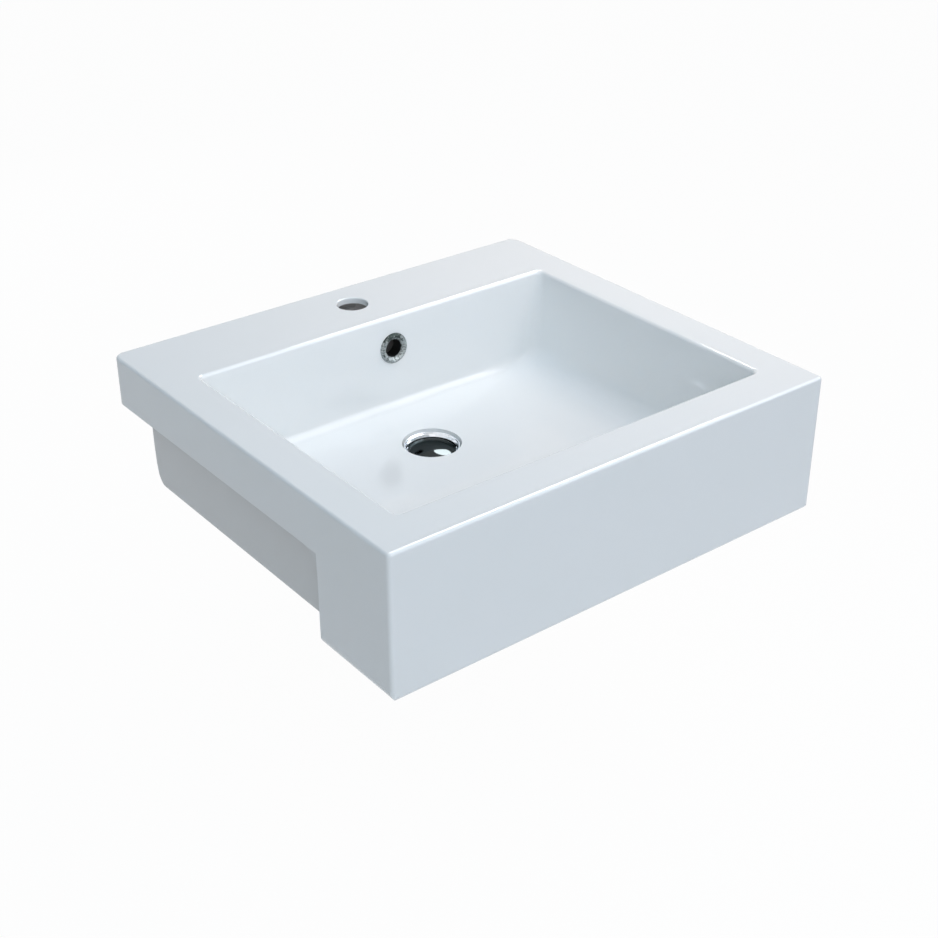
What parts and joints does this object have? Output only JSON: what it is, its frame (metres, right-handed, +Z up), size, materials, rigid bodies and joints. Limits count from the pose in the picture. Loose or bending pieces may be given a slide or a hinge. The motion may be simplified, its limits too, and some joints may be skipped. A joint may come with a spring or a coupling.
{
  "type": "semi recessed basin",
  "caption": "Square semi-recessed washbasin with a deep front apron, tap deck, sloped bowl, chromed overflow ring and a push-to-open waste.",
  "frame": {"origin": "middle of the basin's back edge, where the wall plane y = 0 meets the worktop plane z = 0", "axes": "+X to the right of a person who faces the wall, +Y into the wall, +Z up"},
  "size_m": [0.55, 0.5, 0.21],
  "materials": {
    "glaze": "white vitreous china with a glossy glaze",
    "ring_chrome": "chrome plated ABS, polished",
    "waste_chrome": "chrome plated brass, polished",
    "brass": "turned, bare",
    "rubber": "matt black EPDM",
    "nylon": "natural nylon",
    "acetal": "white acetal",
    "spring_steel": "stainless steel, bright drawn"
  },
  "bodies": {
    "basin": {"ceramic_basin": "glaze", "overflow_ring": "ring_chrome", "overflow_grip": "rubber", "waste_body": "waste_chrome", "flange_gasket": "rubber", "tail_seal": "rubber", "slip_washer": "nylon", "backnut": "brass", "cartridge_housing": "brass", "cartridge_locknut": "brass", "guide_bush": "acetal", "cartridge_spring": "spring_steel"},
    "plunger": {"plug_slider": "acetal"},
    "plug": {"plug_stem": "brass", "plug_cap": "waste_chrome", "plug_seal": "rubber", "seal_clamp": "spring_steel", "plug_nut": "brass"}
  },
  "joints": [
    {"name": "plug_travel", "type": "slide", "parent": "basin", "child": "plunger", "axis": [0, 0, 1], "range_m": [0, 0.008], "deforming": ["cartridge_spring"]},
    {"name": "plug_turn", "type": "hinge", "parent": "plunger", "child": "plug", "pos_m": [0, -0.1945, -0.07], "axis": [0, 0, 1], "continuous": true}
  ]
}
